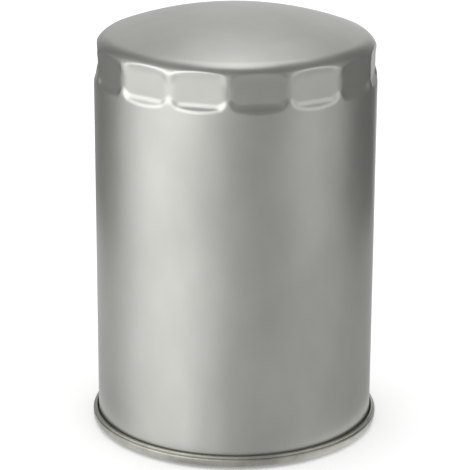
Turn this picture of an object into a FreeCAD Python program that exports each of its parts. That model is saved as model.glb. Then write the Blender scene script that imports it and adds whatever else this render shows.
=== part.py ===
import FreeCAD, Part
import os
from math import cos, pi, sin

import Sketcher
from FreeCAD import Placement, Rotation, Vector

# A spin-on oil filter. Millimetres, +Z up. The origin is on the axis, in the plane of the
# gasket's sealing face, on which the filter stands with its dome on top.

DIMENSIONS = {
    # shell
    "can_radius": 46.5,
    "can_wall": 0.6,
    "can_top": 142.0,
    "crown_radius": 118.0,
    "shoulder_radius": 7.0,
    # wrench flats
    "flat_count": 15,
    "flat_apothem": 45.1,
    "flat_low": 121.4,
    "runout_low": 117.4,
    # rolled seam
    "rim_low": 1.0,
    "rim_height": 3.4,
    "seam_gap": 0.1,
    "hook_height": 1.5,
    "lid_sheet": 0.5,
    "rim_round": 0.7,
    # lid and gasket
    "plate_low": 5.7,
    "groove_lip": 2.6,
    "lip_width": 2.0,
    "gasket_inner": 31.0,
    "gasket_outer": 35.5,
    "gasket_round": 0.5,
    "lid_opening": 25.5,
    # tapping plate
    "plate_sheet": 3.2,
    "plate_radius": 45.5,
    "thread_radius": 8.75,
    "thread_chamfer": 1.0,
    "neck_radius": 13.0,
    "neck_top": 18.0,
    "neck_root": 1.5,
    "inlet_count": 8,
    "inlet_radius": 3.8,
    "inlet_pitch": 19.5,
    # anti-drain-back valve
    "valve_play": 0.1,
    "valve_wall": 2.0,
    "valve_low": 11.4,
    "valve_top": 16.0,
    "valve_lip": 28.0,
    "valve_sheet": 1.2,
    # filter element
    "grommet_sheet": 1.0,
    "cap_sheet": 0.6,
    "cap_radius": 40.0,
    "cap_wall": 5.6,
    "cap_eye": 10.0,
    "adhesive": 2.0,
    "element_top": 120.5,
    "tube_radius": 15.5,
    "tube_sheet": 0.5,
    "tube_hole": 2.0,
    "tube_rows": 10,
    "tube_columns": 8,
    "pleats": 48,
    "paper": 0.6,
    "fold_gap": 0.4,
    "paper_inner": 16.4,
    "paper_outer": 38.4,
    "clip_sheet": 0.3,
    "clip_slot": 1.0,
    "clip_reach": 3.0,
    # bypass valve
    "bypass_eye": 12.0,
    "seat_flange": 14.6,
    "seat_sheet": 0.8,
    "seat_depth": 5.0,
    "seat_opening": 8.0,
    "poppet_radius": 10.2,
    "poppet_sheet": 1.0,
    "seal_inner": 4.0,
    "stem_radius": 2.8,
    "stem_length": 16.5,
    "stem_head": 3.8,
    "stem_guide": 0.3,
    "cage_depth": 13.0,
    "cage_sheet": 0.6,
    "cage_leg": 5.0,
    "cage_legs": 3,
    "cage_gap": 0.1,
    "window_edge": 1.0,
    "bypass_wire": 0.5,
    "bypass_coil": 6.0,
    "bypass_pitch": 2.4,
    # element spring
    "spring_wire": 1.2,
    "spring_base": 21.0,
    "spring_cone": 20.0,
    "spring_pitch": 5.0,
    "spring_headroom": 4.1,
}

# How far a cutting tool stands clear of what it cuts, and how far the inner form pokes out
# of the shell's open end.
TOOL_MARGIN = 6.0
OPEN_END = 2.0


class Size:
    """A number from the sheet together with the formula that gives it."""

    def __init__(self, value, formula):
        self.value = float(value)
        self.formula = formula

    def joined(self, other, sign, value):
        return Size(value, f"({self.formula} {sign} {formula_of(other)})")

    def __add__(self, other):
        return self.joined(other, "+", self.value + value_of(other))

    def __sub__(self, other):
        return self.joined(other, "-", self.value - value_of(other))

    def __mul__(self, other):
        return self.joined(other, "*", self.value * value_of(other))

    def __truediv__(self, other):
        return self.joined(other, "/", self.value / value_of(other))


def value_of(size):
    return size.value if isinstance(size, Size) else float(size)


def formula_of(size):
    return size.formula if isinstance(size, Size) else repr(float(size))


doc = FreeCAD.newDocument("oil_filter")
sheet = doc.addObject("Spreadsheet::Sheet", "sizes")


class Sizes:
    """The driving dimensions, each read as an attribute."""


d = Sizes()
for row, (alias, number) in enumerate(DIMENSIONS.items(), start=1):
    sheet.set(f"A{row}", alias)
    sheet.set(f"B{row}", str(number))
    sheet.setAlias(f"B{row}", alias)
    setattr(d, alias, Size(number, f"{sheet.Name}.{alias}"))
doc.recompute()


# ---------------------------------------------------------------- helpers


def bind(thing, prop, size):
    """Sets a property and ties it to the sheet."""
    setattr(thing, prop, value_of(size))
    if isinstance(size, Size):
        thing.setExpression(prop, size.formula)


def add_body(label):
    body = doc.addObject("PartDesign::Body", label)
    body.Label = label
    return body


def origin_part(body, role):
    for feature in body.Origin.OriginFeatures:
        if feature.Role == role:
            return feature
    raise ValueError(role)


def add_sketch(body, name, role="XZ_Plane", height=None):
    sketch = body.newObject("Sketcher::SketchObject", name)
    sketch.AttachmentSupport = (origin_part(body, role), [""])
    sketch.MapMode = "FlatFace"
    if height is not None:
        sketch.AttachmentOffset = Placement(Vector(0, 0, height.value), Rotation())
        sketch.setExpression("AttachmentOffset.Base.z", height.formula)
    return sketch


def pin(sketch, geometry, point, x, y):
    """Fixes one point of a sketch at x and y from its origin."""
    origin_point = (-1, 1)
    for kind, size, axis in (("DistanceX", x, -2), ("DistanceY", y, -1)):
        if value_of(size) == 0:
            sketch.addConstraint(Sketcher.Constraint("PointOnObject", geometry, point, axis))
            continue
        number = sketch.addConstraint(
            Sketcher.Constraint(kind, *origin_point, geometry, point, value_of(size))
        )
        if isinstance(size, Size):
            sketch.setExpression(f"Constraints[{number}]", size.formula)


def add_outline(sketch, corners):
    """A closed outline of straight lines, each corner tied to the sheet."""
    spots = [Vector(value_of(x), value_of(y), 0) for x, y in corners]
    first = sketch.GeometryCount
    count = len(corners)
    for k in range(count):
        sketch.addGeometry(Part.LineSegment(spots[k], spots[(k + 1) % count]), False)
    for k in range(count):
        following = first + (k + 1) % count
        sketch.addConstraint(Sketcher.Constraint("Coincident", first + k, 2, following, 1))
        pin(sketch, first + k, 1, *corners[k])


def add_circle(sketch, x, y, radius):
    centre = Vector(value_of(x), value_of(y), 0)
    number = sketch.addGeometry(Part.Circle(centre, Vector(0, 0, 1), value_of(radius)), False)
    pin(sketch, number, 3, x, y)
    constraint = sketch.addConstraint(Sketcher.Constraint("Radius", number, value_of(radius)))
    sketch.setExpression(f"Constraints[{constraint}]", radius.formula)


def add_turned(body, sketch):
    """Turns a sketch of the radial section about the filter's axis."""
    turned = body.newObject("PartDesign::Revolution", "turned")
    turned.Profile = (sketch, [""])
    turned.ReferenceAxis = (sketch, ["V_Axis"])
    turned.Angle = 360
    return turned


def turned_body(label, corners):
    body = add_body(label)
    sketch = add_sketch(body, "section")
    add_outline(sketch, corners)
    add_turned(body, sketch)
    doc.recompute()
    return body


def add_polar(body, feature, count, angle=360.0):
    pattern = body.newObject("PartDesign::PolarPattern", "pattern")
    pattern.Originals = [feature]
    pattern.Axis = (origin_part(body, "Z_Axis"), [""])
    pattern.Angle = angle
    pattern.Occurrences = round(count.value)
    pattern.setExpression("Occurrences", count.formula)
    body.Tip = pattern
    doc.recompute()
    return pattern


def ring_edges(shape, radius, height):
    """The names of a shape's full circles of that radius at that height."""
    near = 0.01
    names = []
    for number, edge in enumerate(shape.Edges, start=1):
        if edge.Degenerated or not isinstance(edge.Curve, Part.Circle):
            continue
        same_radius = abs(edge.Curve.Radius - value_of(radius)) < near
        if same_radius and abs(edge.Curve.Center.z - value_of(height)) < near:
            names.append(f"Edge{number}")
    return names


def add_rounding(body, rings, size, kind="PartDesign::Fillet"):
    """Rounds or chamfers the circles given as (radius, height)."""
    base = body.Tip
    names = [n for radius, height in rings for n in ring_edges(base.Shape, radius, height)]
    rounding = body.newObject(kind, "rounding")
    rounding.Base = (base, names)
    bind(rounding, "Radius" if kind.endswith("Fillet") else "Size", size)
    body.Tip = rounding
    doc.recompute()


def sheet_section(path, thickness):
    """The closed outline of sheet metal whose middle follows a path of level and upright runs."""
    half = thickness / 2.0
    values = [(value_of(x), value_of(y)) for x, y in path]

    def heading(k):
        dx = values[k + 1][0] - values[k][0]
        dy = values[k + 1][1] - values[k][1]
        return (dx > 0) - (dx < 0), (dy > 0) - (dy < 0)

    left, right = [], []
    last = len(path) - 1
    for k, (x, y) in enumerate(path):
        before = heading(max(k - 1, 0))
        after = heading(min(k, last - 1))
        across = {(-before[1], before[0]), (-after[1], after[0])}
        sx = sum(a[0] for a in across)
        sy = sum(a[1] for a in across)
        left.append((x + half * sx, y + half * sy))
        right.append((x - half * sx, y - half * sy))
    return left + right[::-1]


def revolved_sheet(label, path, thickness):
    return turned_body(label, sheet_section(path, thickness))


def add_spring(label, wire, radius, pitch, height, low, cone=None):
    """A round-wire coil spring about the filter's axis, standing at height low."""
    helix = doc.addObject("Part::Helix", label + "_line")
    bind(helix, "Radius", radius)
    bind(helix, "Pitch", pitch)
    bind(helix, "Height", height)
    if cone is not None:
        helix.Angle = -value_of(cone)
        helix.setExpression("Angle", f"-{cone.formula}")
    section = doc.addObject("Part::Circle", label + "_section")
    bind(section, "Radius", wire)
    section.Placement = Placement(Vector(radius.value, 0, 0), Rotation(Vector(1, 0, 0), 90))
    section.setExpression("Placement.Base.x", radius.formula)
    spring = doc.addObject("Part::Sweep", label)
    spring.Label = label
    spring.Sections = [section]
    spring.Spine = (helix, ["Edge1"])
    spring.Solid = True
    spring.Frenet = True
    spring.Placement = Placement(Vector(0, 0, low.value), Rotation())
    spring.setExpression("Placement.Base.z", low.formula)
    doc.recompute()
    return spring


# ---------------------------------------------------------------- shell and seam

rim_top = d.rim_low + d.rim_height
half_lid = d.lid_sheet / 2.0
half_can = d.can_wall / 2.0

# Radial places in the seam, from the canister's wall outwards.
cover_hook = d.can_radius + d.seam_gap + half_lid
body_hook = cover_hook + half_lid + d.seam_gap + half_can
seam_wall = body_hook + half_can + d.seam_gap + half_lid
chuck_wall = d.can_radius - d.can_wall - d.seam_gap - half_lid
flange_level = d.rim_low + d.lid_sheet + d.seam_gap + half_can


def fluted_form(name, inset, low):
    """The shell's outer form, or its inner one when inset by the wall: a domed cylinder
    with a ring of flats that run out into the straight side."""
    body = add_body(name)
    radius = d.can_radius - inset
    top = d.can_top - inset
    crown = d.crown_radius - inset
    edge_height = top.value - crown.value + (crown.value**2 - radius.value**2) ** 0.5

    sketch = add_sketch(body, "section")
    centre = Vector(0, top.value - crown.value, 0)
    start = Vector(radius.value, edge_height, 0)
    rise = start - centre
    opening = Vector(rise.x, rise.y, 0).getAngle(Vector(1, 0, 0))
    arc = Part.ArcOfCircle(Part.Circle(centre, Vector(0, 0, 1), crown.value), opening, pi / 2)
    corners = [Vector(0, top.value, 0), Vector(0, low.value, 0), Vector(radius.value, low.value, 0)]
    sketch.addGeometry(arc, False)
    sketch.addGeometry(Part.LineSegment(corners[0], corners[1]), False)
    sketch.addGeometry(Part.LineSegment(corners[1], corners[2]), False)
    sketch.addGeometry(Part.LineSegment(corners[2], start), False)
    sketch.addConstraint(Sketcher.Constraint("PointOnObject", 0, 3, -2))
    for first, first_end, second, second_end in ((0, 2, 1, 1), (1, 2, 2, 1), (2, 2, 3, 1), (3, 2, 0, 1)):
        sketch.addConstraint(Sketcher.Constraint("Coincident", first, first_end, second, second_end))
    pin(sketch, 1, 1, 0, top)
    pin(sketch, 2, 1, 0, low)
    pin(sketch, 3, 1, radius, low)
    sketch.addConstraint(Sketcher.Constraint("Vertical", 3))
    bend = sketch.addConstraint(Sketcher.Constraint("Radius", 0, crown.value))
    sketch.setExpression(f"Constraints[{bend}]", crown.formula)
    body.Tip = add_turned(body, sketch)
    doc.recompute()
    add_rounding(body, [(radius, edge_height)], d.shoulder_radius - inset)

    # One flat: a tool whose inner side is the flat and whose foot slopes out past the wall.
    apothem = d.flat_apothem - inset
    slope = (d.flat_low - d.runout_low) / (d.can_radius - d.flat_apothem)
    reach = d.can_radius - d.flat_apothem + TOOL_MARGIN
    outside = apothem + reach
    cutter = add_sketch(body, "flat_section")
    add_outline(
        cutter,
        [
            (apothem, d.flat_low),
            (outside, d.flat_low - slope * reach),
            (outside, d.can_top + TOOL_MARGIN),
            (apothem, d.can_top + TOOL_MARGIN),
        ],
    )
    flat = body.newObject("PartDesign::Pocket", "flat")
    flat.Profile = (cutter, [""])
    flat.Type = "Length"
    flat.SideType = "Symmetric"
    bind(flat, "Length", d.can_radius)
    body.Tip = flat
    doc.recompute()
    add_polar(body, flat, d.flat_count)
    return body


outside_form = fluted_form("canister_outside", 0.0, flange_level - half_can)
inside_form = fluted_form("canister_inside", d.can_wall, flange_level - half_can - OPEN_END)

# The flange turns out under the wall and hooks up beside it.
wall_line = d.can_radius - half_can
flange = revolved_sheet(
    "canister_flange",
    [
        (wall_line, flange_level + d.can_wall * 2.0),
        (wall_line, flange_level),
        (body_hook, flange_level),
        (body_hook, flange_level + d.hook_height - half_can),
    ],
    d.can_wall,
)
shell = doc.addObject("Part::Cut", "shell")
shell.Base = outside_form
shell.Tool = inside_form
canister = doc.addObject("Part::MultiFuse", "canister")
canister.Label = "canister"
canister.Shapes = [shell, flange]
canister.Refine = True
doc.recompute()

# The lid: hook, rolled rim, chuck wall, then the panel with the gasket's groove.
panel = d.plate_low - half_lid
lip = d.groove_lip + half_lid
groove_outer = d.gasket_outer + d.seam_gap + half_lid
groove_inner = d.gasket_inner - d.seam_gap - half_lid
seaming_lid = revolved_sheet(
    "seaming_lid",
    [
        (cover_hook, flange_level + d.can_wall),
        (cover_hook, rim_top - half_lid),
        (seam_wall, rim_top - half_lid),
        (seam_wall, d.rim_low + half_lid),
        (chuck_wall, d.rim_low + half_lid),
        (chuck_wall, panel),
        (groove_outer + d.lip_width, panel),
        (groove_outer + d.lip_width, lip),
        (groove_outer, lip),
        (groove_outer, panel),
        (groove_inner, panel),
        (groove_inner, lip),
        (groove_inner - d.lip_width, lip),
        (groove_inner - d.lip_width, panel),
        (d.lid_opening, panel),
    ],
    d.lid_sheet,
)
add_rounding(
    seaming_lid,
    [
        (seam_wall + half_lid, rim_top),
        (seam_wall + half_lid, d.rim_low),
        (chuck_wall - half_lid, d.rim_low),
    ],
    d.rim_round,
)

compound_low = flange_level + d.hook_height
seam_compound = turned_body(
    "seam_compound",
    [
        (body_hook - half_can, compound_low),
        (body_hook + half_can, compound_low),
        (body_hook + half_can, rim_top - d.lid_sheet),
        (body_hook - half_can, rim_top - d.lid_sheet),
    ],
)

# ---------------------------------------------------------------- base plate and seals

gasket_top = d.plate_low - d.lid_sheet
sealing_gasket = turned_body(
    "sealing_gasket",
    [
        (d.gasket_inner, 0),
        (d.gasket_outer, 0),
        (d.gasket_outer, gasket_top),
        (d.gasket_inner, gasket_top),
    ],
)
add_rounding(sealing_gasket, [(d.gasket_inner, 0), (d.gasket_outer, 0)], d.gasket_round)

plate_top = d.plate_low + d.plate_sheet
tapping_plate = turned_body(
    "tapping_plate",
    [
        (d.thread_radius, d.plate_low),
        (d.plate_radius, d.plate_low),
        (d.plate_radius, plate_top),
        (d.neck_radius, plate_top),
        (d.neck_radius, d.neck_top),
        (d.thread_radius, d.neck_top),
    ],
)
add_rounding(tapping_plate, [(d.neck_radius, plate_top)], d.neck_root)
mouth = [(d.thread_radius, d.plate_low)]
add_rounding(tapping_plate, mouth, d.thread_chamfer, "PartDesign::Chamfer")
inlet_sketch = add_sketch(tapping_plate, "inlet_circle", "XY_Plane", d.plate_low)
add_circle(inlet_sketch, d.inlet_pitch, 0, d.inlet_radius)
inlet = tapping_plate.newObject("PartDesign::Pocket", "inlet")
inlet.Profile = (inlet_sketch, [""])
inlet.Type = "ThroughAll"
inlet.SideType = "Symmetric"
tapping_plate.Tip = inlet
doc.recompute()
add_polar(tapping_plate, inlet, d.inlet_count)

# The rubber sleeve stands round the neck; its skirt slopes down to a lip on the plate.
sleeve_inner = d.neck_radius + d.valve_play
sleeve_outer = sleeve_inner + d.valve_wall
anti_drainback_valve = turned_body(
    "anti_drainback_valve",
    [
        (sleeve_inner, d.valve_low),
        (sleeve_outer, d.valve_low),
        (d.valve_lip, plate_top),
        (d.valve_lip, plate_top + d.valve_sheet),
        (sleeve_outer, d.valve_low + d.valve_sheet),
        (sleeve_outer, d.valve_top),
        (sleeve_inner, d.valve_top),
    ],
)

element_low = d.neck_top + d.grommet_sheet
element_grommet = turned_body(
    "element_grommet",
    [
        (d.cap_eye, d.neck_top),
        (d.neck_radius, d.neck_top),
        (d.neck_radius, element_low),
        (d.cap_eye, element_low),
    ],
)

# ---------------------------------------------------------------- filter element

half_cap = d.cap_sheet / 2.0
cap_line = d.cap_radius - half_cap
lower_end_cap = revolved_sheet(
    "lower_end_cap",
    [
        (d.cap_eye, element_low + half_cap),
        (cap_line, element_low + half_cap),
        (cap_line, element_low + d.cap_wall),
    ],
    d.cap_sheet,
)
upper_end_cap = revolved_sheet(
    "upper_end_cap",
    [
        (d.bypass_eye, d.element_top - half_cap),
        (cap_line, d.element_top - half_cap),
        (cap_line, d.element_top - d.cap_wall),
    ],
    d.cap_sheet,
)


def adhesive_ring(label, low):
    inner = d.tube_radius - d.tube_sheet
    outer = d.cap_radius - d.cap_sheet
    high = low + d.adhesive
    return turned_body(label, [(inner, low), (outer, low), (outer, high), (inner, high)])


lower_adhesive = adhesive_ring("lower_adhesive", element_low + d.cap_sheet)
upper_adhesive = adhesive_ring("upper_adhesive", d.element_top - d.cap_sheet - d.adhesive)
media_low = element_low + d.cap_sheet + d.adhesive
media_high = d.element_top - d.cap_sheet - d.adhesive
media_height = media_high - media_low

centre_tube = turned_body(
    "centre_tube",
    [
        (d.tube_radius - d.tube_sheet, media_low),
        (d.tube_radius, media_low),
        (d.tube_radius, media_high),
        (d.tube_radius - d.tube_sheet, media_high),
    ],
)
rows = int(d.tube_rows.value)
hole_sketch = add_sketch(centre_tube, "hole_column")
for k in range(rows):
    add_circle(hole_sketch, 0, media_low + media_height * ((k + 0.5) / rows), d.tube_hole)
holes = centre_tube.newObject("PartDesign::Pocket", "holes")
holes.Profile = (hole_sketch, [""])
holes.Type = "ThroughAll"
holes.SideType = "Symmetric"
centre_tube.Tip = holes
doc.recompute()
hole_pairs = d.tube_columns / 2.0
add_polar(centre_tube, holes, hole_pairs, 180.0 - 180.0 / hole_pairs.value)


def pleat_line(outer_radius, outer_half, inner_radius, inner_half):
    """One side of the pleated paper: a ring of blunt folds, outer and inner by turns."""
    count = int(d.pleats.value)
    points = []
    for k in range(2 * count):
        angle = k * pi / count
        radius, half = (inner_radius, inner_half) if k % 2 == 0 else (outer_radius, outer_half)
        along = Vector(cos(angle), sin(angle), 0)
        across = Vector(-sin(angle), cos(angle), 0)
        middle = along * radius.value + Vector(0, 0, media_low.value)
        points += [middle - across * half.value, middle + across * half.value]
    return Part.makePolygon(points + points[:1])


# The paper is one closed strip: the face between its two sides, raised to its height.
slit = d.fold_gap / 2.0
paper_sides = [
    pleat_line(d.paper_outer, d.paper + slit, d.paper_inner + d.paper, slit),
    pleat_line(d.paper_outer - d.paper, slit, d.paper_inner, d.paper + slit),
]
paper_face = Part.makeFace(paper_sides, "Part::FaceMakerBullseye")
pleated_media = doc.addObject("Part::Feature", "pleated_media")
pleated_media.Label = "pleated_media"
pleated_media.Shape = paper_face.extrude(Vector(0, 0, media_height.value))

# A folded strip straddles the outer tip of one pleat.
clip_back = d.cap_radius - d.cap_sheet - d.clip_sheet - d.seam_gap
clip_foot = clip_back - d.clip_reach
clip_half = d.clip_slot + d.clip_sheet
media_seam_clip = add_body("media_seam_clip")
clip_sketch = add_sketch(media_seam_clip, "clip_section", "XY_Plane", media_low)
add_outline(
    clip_sketch,
    [
        (clip_foot, d.clip_slot),
        (clip_back, d.clip_slot),
        (clip_back, d.clip_slot * -1.0),
        (clip_foot, d.clip_slot * -1.0),
        (clip_foot, clip_half * -1.0),
        (clip_back + d.clip_sheet, clip_half * -1.0),
        (clip_back + d.clip_sheet, clip_half),
        (clip_foot, clip_half),
    ],
)
clip_pad = media_seam_clip.newObject("PartDesign::Pad", "clip_pad")
clip_pad.Profile = (clip_sketch, [""])
bind(clip_pad, "Length", media_height)
media_seam_clip.Tip = clip_pad
turn_to_tip = 180.0 / d.pleats.value
media_seam_clip.Placement = Placement(Vector(), Rotation(Vector(0, 0, 1), turn_to_tip))
doc.recompute()

# ---------------------------------------------------------------- bypass valve

seat_outer = d.bypass_eye - d.cage_gap
seat_face = d.element_top - d.seat_depth
half_seat = d.seat_sheet / 2.0
bypass_seat = revolved_sheet(
    "bypass_seat",
    [
        (d.seat_flange, d.element_top + half_seat),
        (seat_outer - half_seat, d.element_top + half_seat),
        (seat_outer - half_seat, seat_face + half_seat),
        (d.seat_opening, seat_face + half_seat),
    ],
    d.seat_sheet,
)

poppet_top = seat_face - d.poppet_sheet
bypass_seal = turned_body(
    "bypass_seal",
    [
        (d.seal_inner, poppet_top),
        (d.poppet_radius, poppet_top),
        (d.poppet_radius, seat_face),
        (d.seal_inner, seat_face),
    ],
)
poppet_low = poppet_top - d.poppet_sheet
bypass_poppet = turned_body(
    "bypass_poppet",
    [
        (d.stem_radius, poppet_low),
        (d.poppet_radius, poppet_low),
        (d.poppet_radius, poppet_top),
        (d.stem_radius, poppet_top),
    ],
)
# The stem is riveted over: its head sits on the poppet inside the seal.
bypass_stem = turned_body(
    "bypass_stem",
    [
        (0, poppet_low - d.stem_length),
        (d.stem_radius, poppet_low - d.stem_length),
        (d.stem_radius, poppet_top),
        (d.stem_head, poppet_top),
        (d.stem_head, poppet_top + d.poppet_sheet),
        (0, poppet_top + d.poppet_sheet),
    ],
)

# The cage is pressed on the seat from below: a ring, three legs and a perch for the spring.
cage_inner = seat_outer + d.cage_gap
half_cage = d.cage_sheet / 2.0
perch = poppet_low - d.cage_depth
bypass_cage = revolved_sheet(
    "bypass_cage",
    [
        (d.stem_radius + d.stem_guide, perch - half_cage),
        (cage_inner + half_cage, perch - half_cage),
        (cage_inner + half_cage, d.element_top - d.cap_sheet - d.cage_gap),
    ],
    d.cage_sheet,
)
window_sketch = add_sketch(bypass_cage, "window")
window_half = cage_inner * sin(pi / d.cage_legs.value) - d.cage_leg / 2.0
add_outline(
    window_sketch,
    [
        (window_half * -1.0, perch + d.window_edge),
        (window_half, perch + d.window_edge),
        (window_half, seat_face - d.window_edge),
        (window_half * -1.0, seat_face - d.window_edge),
    ],
)
window = bypass_cage.newObject("PartDesign::Pocket", "window")
window.Profile = (window_sketch, [""])
window.Type = "ThroughAll"
bypass_cage.Tip = window
doc.recompute()
add_polar(bypass_cage, window, d.cage_legs)

bypass_spring = add_spring(
    "bypass_spring",
    d.bypass_wire,
    d.bypass_coil,
    d.bypass_pitch,
    poppet_low - perch - d.bypass_wire * 2.0,
    perch + d.bypass_wire,
)
# The set spring stands on the upper cap outside the seat and reaches the dome's inside.
element_spring = add_spring(
    "element_spring",
    d.spring_wire,
    d.spring_base,
    d.spring_pitch,
    d.can_top - d.element_top - d.spring_headroom,
    d.element_top + d.spring_wire,
    d.spring_cone,
)

# ---------------------------------------------------------------- writing

PIECES = [
    canister,
    seaming_lid,
    seam_compound,
    sealing_gasket,
    tapping_plate,
    anti_drainback_valve,
    element_grommet,
    lower_end_cap,
    lower_adhesive,
    centre_tube,
    pleated_media,
    media_seam_clip,
    upper_adhesive,
    upper_end_cap,
    bypass_seat,
    bypass_seal,
    bypass_poppet,
    bypass_stem,
    bypass_spring,
    bypass_cage,
    element_spring,
]

doc.recompute()
for thing in doc.Objects:
    if {"Invalid", "Error"} & set(thing.State):
        raise RuntimeError(f"{thing.Name} ({thing.Label}) failed: {thing.State}")
for piece in PIECES:
    if piece.Shape.isNull() or not piece.Shape.isValid():
        raise RuntimeError(f"{piece.Label} has no valid shape")

os.makedirs("parts", exist_ok=True)
for piece in PIECES:
    box = piece.Shape.optimalBoundingBox()
    piece.Shape.exportStep(os.path.join("parts", piece.Label + ".step"))
    print(
        f"{piece.Label:22s} solids {len(piece.Shape.Solids)}  volume {piece.Shape.Volume:9.1f} mm3"
        f"  r {box.XMax:6.2f}  z {box.ZMin:7.2f} to {box.ZMax:7.2f}"
    )
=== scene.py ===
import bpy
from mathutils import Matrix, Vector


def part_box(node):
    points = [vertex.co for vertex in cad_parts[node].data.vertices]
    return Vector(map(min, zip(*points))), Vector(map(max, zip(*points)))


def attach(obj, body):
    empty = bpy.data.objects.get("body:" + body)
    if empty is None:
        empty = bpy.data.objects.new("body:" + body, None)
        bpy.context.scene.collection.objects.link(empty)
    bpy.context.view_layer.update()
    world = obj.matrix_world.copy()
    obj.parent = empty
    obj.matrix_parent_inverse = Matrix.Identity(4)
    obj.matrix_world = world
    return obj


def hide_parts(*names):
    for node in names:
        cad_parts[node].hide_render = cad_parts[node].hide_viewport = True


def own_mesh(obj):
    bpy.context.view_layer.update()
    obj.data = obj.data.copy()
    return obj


bl_info = {
    "name": "Spin-on Oil Filter",
    "version": (1, 0, 0),
    "blender": (4, 5, 0),
    "location": "3D View > Sidebar > Oil Filter",
    "description": "Builds the finished surfaces of a spin-on oil filter on its engineering model",
    "category": "Mesh",
}

from math import asin, atan2, cos, degrees, pi, radians, sin, sqrt, tan

import bmesh
import bpy
from mathutils import Matrix, Vector

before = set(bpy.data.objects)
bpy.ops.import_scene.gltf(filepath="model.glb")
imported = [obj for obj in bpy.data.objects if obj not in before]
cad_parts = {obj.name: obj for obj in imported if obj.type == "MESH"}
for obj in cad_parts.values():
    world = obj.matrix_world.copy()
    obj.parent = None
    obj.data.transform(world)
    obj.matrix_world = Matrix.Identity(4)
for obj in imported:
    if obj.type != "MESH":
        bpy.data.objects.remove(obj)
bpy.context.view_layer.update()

MM = 0.001
HOUSING = "housing"
SKIRT = "drainback_skirt"


# ---------------------------------------------------------------- sizes and colours


def length(name, description, millimetres):
    return bpy.props.FloatProperty(
        name=name, description=description, default=millimetres * MM, unit="LENGTH", precision=5
    )


def colour(name, description, rgb):
    return bpy.props.FloatVectorProperty(
        name=name, description=description, default=rgb, subtype="COLOR", min=0.0, max=1.0
    )


def angle(name, description, turn):
    return bpy.props.FloatProperty(
        name=name, description=description, default=radians(turn), subtype="ANGLE"
    )


def share(name, description, default):
    return bpy.props.FloatProperty(
        name=name, description=description, default=default, min=0.0, max=1.0, subtype="FACTOR"
    )


class FilterShellSizes(bpy.types.PropertyGroup):
    can_radius: length("Can radius", "Outer radius of the straight side", 46.5)
    can_wall: length("Can wall", "Thickness of the drawn steel", 0.6)
    crown_radius: length("Crown radius", "Radius of the dome over its middle", 118.0)
    shoulder_radius: length("Shoulder radius", "Bend between the dome and the side", 7.0)
    flat_count: bpy.props.IntProperty(
        name="Wrench flats", description="Number of flats round the dome", default=15, min=6
    )
    flat_apothem: length("Flat distance", "From the axis to each flat", 45.1)
    flat_low: length("Flat foot", "Height where a flat ends and its ledge begins", 120.9)
    flat_high: length("Flat head", "Height where a flat begins to bend into the shoulder", 131.5)
    flat_corner: length("Flat corner", "Rounding of a flat's four corners", 3.4)
    ledge_slope: bpy.props.FloatProperty(
        name="Ledge slope",
        description="How far the ledge below a flat leans out for each unit it falls",
        default=0.65,
        min=0.1,
    )
    ridge_round: length("Ridge rounding", "Radius of the ridge between two flats", 4.2)
    press_round: length("Press rounding", "Softness of the pressed edges", 1.0)


class FilterBaseSizes(bpy.types.PropertyGroup):
    rim_radius: length("Rim radius", "Outer radius of the rolled rim", 48.4)
    rim_low: length("Rim foot", "Height of the rim's foot above the gasket's face", 1.0)
    rim_top: length("Rim top", "Height of the rim's upper bead", 4.5)
    thread_minor: length("Thread minor radius", "Radius at the thread's crests", 8.75)
    thread_major: length("Thread major radius", "Radius at the thread's roots", 9.5)
    thread_pitch: length("Thread pitch", "Rise of the thread in one turn", 1.5875)
    inlet_radius: length("Inlet radius", "Radius of each oil inlet hole", 3.8)
    inlet_circle: length("Inlet circle", "Radius of the circle the inlets lie on", 19.5)
    inlet_count: bpy.props.IntProperty(
        name="Inlets", description="Number of oil inlet holes", default=8, min=4
    )


class FilterValveSizes(bpy.types.PropertyGroup):
    wire_radius: length("Wire radius", "Radius of the bypass spring's wire", 0.5)
    spring_turns: bpy.props.IntProperty(
        name="Spring turns",
        description="Turns of the bypass spring, with its two closed end turns",
        default=6,
        min=3,
    )
    bypass_travel: length("Bypass travel", "How far the bypass valve opens", 3.0)


class FilterFinishes(bpy.types.PropertyGroup):
    paint: colour("Shell paint", "Silver paint on the shell", (0.45, 0.452, 0.425))
    paint_roughness: share("Paint roughness", "Softness of the paint's reflections", 0.33)
    tinplate: colour("Tinplate", "Bare sheet of the rolled rim and lid", (0.42, 0.422, 0.375))
    zinc: colour("Zinc", "Plating of the base plate", (0.46, 0.46, 0.45))
    black_rubber: colour("Black rubber", "Sealing gasket", (0.012, 0.012, 0.012))
    red_rubber: colour("Red rubber", "Anti-drain-back valve", (0.24, 0.045, 0.02))
    paper: colour("Filter paper", "Resin-cured pleated paper", (0.62, 0.43, 0.17))
    adhesive: colour("Adhesive", "Cured end cap adhesive", (0.33, 0.21, 0.07))
    spring: colour("Spring wire", "Drawn spring steel", (0.22, 0.22, 0.23))


class FilterStage(bpy.types.PropertyGroup):
    camera_distance: length("Camera distance", "From the camera to the filter's middle", 720.0)
    camera_azimuth: angle("Camera azimuth", "Turn of the camera round the filter", 8.8)
    camera_elevation: angle("Camera elevation", "How far the camera looks down", 18.2)
    camera_roll: angle("Camera roll", "Tilt of the camera about its own line", 0.3)
    camera_height: length("Aim height", "Height of the point the camera aims at", 64.5)
    field_width: length("Field width", "Width seen at the filter's middle", 158.0)


# ---------------------------------------------------------------- mesh helpers


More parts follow.
